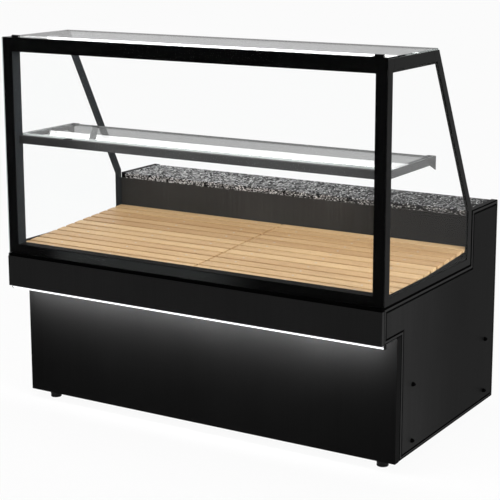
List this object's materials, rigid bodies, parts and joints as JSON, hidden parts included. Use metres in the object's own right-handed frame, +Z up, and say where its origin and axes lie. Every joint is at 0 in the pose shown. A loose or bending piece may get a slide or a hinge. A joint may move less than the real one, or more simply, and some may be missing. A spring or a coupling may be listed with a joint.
{
  "type": "bread counter",
  "caption": "Shop bread counter: a black base cabinet with a glass-sided display, sloped slatted deck, glass shelf, lamps and a stone worktop behind it.",
  "frame": {"origin": "on the floor, in the middle of the counter's length and depth", "axes": "+X along the counter, to the right as the customers see it; +Y from the customers' side to the staff's side; +Z up"},
  "size_m": [1.52, 0.92, 1.356],
  "materials": {
    "black_laminate": "black laminate on board, satin",
    "black_profile": "black powder coat, fine texture",
    "seal": "soft black rubber",
    "clear_glass": "clear toughened float glass, polished edges",
    "printed_border": "black enamel printed on the inside of the glass",
    "granite": "dark speckled granite, polished",
    "beech": "oiled beech, soft sheen",
    "stainless": "brushed stainless sheet",
    "zinc_steel": "zinc-plated steel",
    "pull_metal": "natural anodised aluminium",
    "lamp_white": "white paint",
    "opal": "opal cover, lit from behind",
    "black_plastic": "black moulded plastic, fine grain"
  },
  "bodies": {
    "counter": {"side_panel_left": "black_laminate", "side_panel_right": "black_laminate", "bottom_board": "black_laminate", "mid_board": "black_laminate", "plinth_panel": "black_laminate", "front_beam": "black_laminate", "deck_bearers": "black_laminate", "rear_niche": "black_laminate", "inner_back_panel": "black_laminate", "divider": "black_laminate", "storage_shelves": "black_laminate", "side_trims": "black_profile", "apron": "black_profile", "front_sill": "black_profile", "side_sills": "black_profile", "front_posts": "black_profile", "front_top_rail": "black_profile", "side_top_rails": "black_profile", "rear_posts": "black_profile", "shelf_bar": "black_profile", "shelf_arms": "black_profile", "worktop_rail": "black_profile", "glass_hinge_bases": "black_profile", "plinth_seals": "seal", "sill_gasket": "seal", "front_seal": "seal", "side_glasses": "clear_glass", "top_glass": "clear_glass", "shelf_glass": "clear_glass", "worktop": "granite", "deck_grate_left": "beech", "deck_grate_right": "beech", "glass_hinge_pins": "zinc_steel", "door_pivots": "zinc_steel", "foot_plates": "zinc_steel", "strip_channel": "pull_metal", "top_lamp_housing": "lamp_white", "lamp_driver": "lamp_white", "top_lamp_cover": "opal", "strip_cover": "opal", "side_bolts": "black_plastic", "shelf_stops": "black_plastic", "tray_runners": "black_plastic", "switch_panel": "black_plastic", "cable_gland": "black_plastic"},
    "front_pane": {"front_glass": "clear_glass", "front_glass_border": "printed_border", "glass_hinge_leaves": "black_profile"},
    "tray_left": {"crumb_tray_left": "stainless"},
    "tray_right": {"crumb_tray_right": "stainless"},
    "left_door": {"door_left": "black_laminate", "door_pull_left": "pull_metal"},
    "right_door": {"door_right": "black_laminate", "door_pull_right": "pull_metal"},
    "rocker": {"switch_rocker": "black_plastic"},
    "foot_fl": {"foot_front_left": "black_plastic"},
    "foot_fr": {"foot_front_right": "black_plastic"},
    "foot_rl": {"foot_rear_left": "black_plastic"},
    "foot_rr": {"foot_rear_right": "black_plastic"}
  },
  "joints": [
    {"name": "front_glass_lift", "type": "hinge", "parent": "counter", "child": "front_pane", "pos_m": [0, -0.425, 1.3505], "axis": [-1, 0, 0], "range_deg": [0, 90]},
    {"name": "tray_left_slide", "type": "slide", "parent": "counter", "child": "tray_left", "axis": [0, 1, 0], "range_m": [0, 0.55]},
    {"name": "tray_right_slide", "type": "slide", "parent": "counter", "child": "tray_right", "axis": [0, 1, 0], "range_m": [0, 0.55]},
    {"name": "left_door_swing", "type": "hinge", "parent": "counter", "child": "left_door", "pos_m": [-0.7095, 0.435, 0.25], "axis": [0, 0, 1], "range_deg": [0, 100]},
    {"name": "right_door_swing", "type": "hinge", "parent": "counter", "child": "right_door", "pos_m": [0.7095, 0.435, 0.25], "axis": [0, 0, -1], "range_deg": [0, 100]},
    {"name": "rocker_press", "type": "hinge", "parent": "counter", "child": "rocker", "pos_m": [0.677, 0.42, 0.685], "axis": [-1, 0, 0], "range_deg": [0, 16]},
    {"name": "foot_fl_turn", "type": "hinge", "parent": "counter", "child": "foot_fl", "pos_m": [-0.68, -0.297, 0.04], "axis": [0, 0, 1], "continuous": true},
    {"name": "foot_fr_turn", "type": "hinge", "parent": "counter", "child": "foot_fr", "pos_m": [0.68, -0.297, 0.04], "axis": [0, 0, 1], "continuous": true},
    {"name": "foot_rl_turn", "type": "hinge", "parent": "counter", "child": "foot_rl", "pos_m": [-0.68, 0.34, 0.04], "axis": [0, 0, 1], "continuous": true},
    {"name": "foot_rr_turn", "type": "hinge", "parent": "counter", "child": "foot_rr", "pos_m": [0.68, 0.34, 0.04], "axis": [0, 0, 1], "continuous": true}
  ]
}
